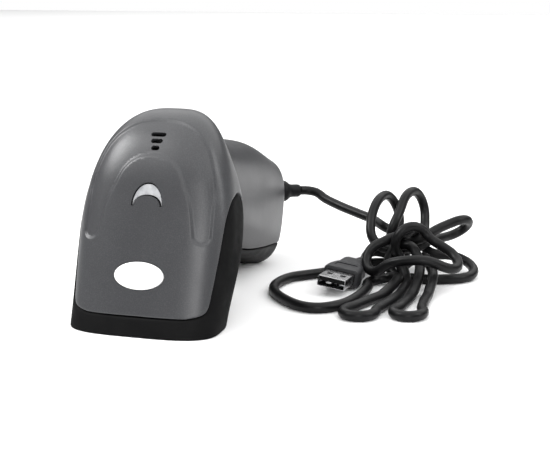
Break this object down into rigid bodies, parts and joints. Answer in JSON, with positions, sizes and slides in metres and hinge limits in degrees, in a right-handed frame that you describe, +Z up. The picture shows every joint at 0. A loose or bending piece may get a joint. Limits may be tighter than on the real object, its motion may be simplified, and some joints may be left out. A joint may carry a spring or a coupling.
{
  "type": "handheld barcode scanner",
  "caption": "Handheld barcode scanner with a domed head, pistol handle, sprung trigger, laser scan engine and a corded USB plug, lying on its nose.",
  "frame": {"origin": "middle of the scanner's footprint, on the surface it lies on", "axes": "+Z up, -Y towards the nose of the scan head, +Y along the handle, +X to the side the cord leaves on"},
  "size_m": [0.1436, 0.1561, 0.0793],
  "materials": {
    "white_plastic": "satin white",
    "clear_plastic": "clear, frosted behind",
    "black_plastic": "fine matte grain",
    "window": "red tinted, polished",
    "magnesium": "cast, matte",
    "brass": "turned",
    "mirror": "polished",
    "board": "solder mask",
    "steel": "nickel plated",
    "copper": "enamelled wire",
    "grey_part": "fine grain",
    "grey_plastic": "satin metallic paint",
    "bumper_rubber": "soft, fine grain",
    "cord_rubber": "satin jacket"
  },
  "bodies": {
    "scanner_body": {"badge": "white_plastic", "indicator_lens": "clear_plastic", "indicator_led": "white_plastic", "window_frame": "black_plastic", "scan_window": "window", "engine_chassis": "magnesium", "laser_module": "brass", "collection_mirror": "mirror", "photodiode_board": "board", "photodiode": "black_plastic", "drive_coil": "copper", "main_board": "board", "board_screw_1": "steel", "board_screw_2": "steel", "decoder_chip": "black_plastic", "switch_body": "black_plastic", "cable_connector": "white_plastic", "trigger_pin": "steel", "trigger_spring": "steel", "housing_screw_1": "steel", "housing_screw_2": "steel", "upper_housing": "grey_plastic", "nose_bumper": "bumper_rubber", "lower_housing": "black_plastic", "beeper": "black_plastic", "cable_gland": "cord_rubber", "cable_lead": "cord_rubber", "cable_loop": "cord_rubber", "cable_tail": "cord_rubber", "cable_hank": "cord_rubber", "usb_shell": "steel", "usb_tongue": "white_plastic", "usb_overmould": "grey_part"},
    "trigger_lever": {"trigger": "grey_part"},
    "switch_button": {"switch_plunger": "white_plastic"},
    "mirror_rotor": {"scan_mirror": "mirror", "mirror_magnet": "steel"}
  },
  "joints": [
    {"name": "trigger_pull", "type": "hinge", "parent": "scanner_body", "child": "trigger_lever", "pos_m": [0, -0.01515, 0.03476], "axis": [1, 0, 0], "range_deg": [0, 6], "stiffness_Nm_per_rad": 0.6, "springref_deg": -4.58},
    {"name": "switch_press", "type": "slide", "parent": "scanner_body", "child": "switch_button", "axis": [0, 0.309, 0.9511], "range_m": [0, 0.0012]},
    {"name": "mirror_scan", "type": "hinge", "parent": "scanner_body", "child": "mirror_rotor", "pos_m": [0.011, -0.0403, 0.03109], "axis": [0, 0.9421, -0.3355], "range_deg": [-10, 10], "stiffness_Nm_per_rad": 0.01}
  ],
  "couplings": [
    {"joint": "switch_press", "follows": "trigger_pull", "m_per_rad": 0.011}
  ]
}
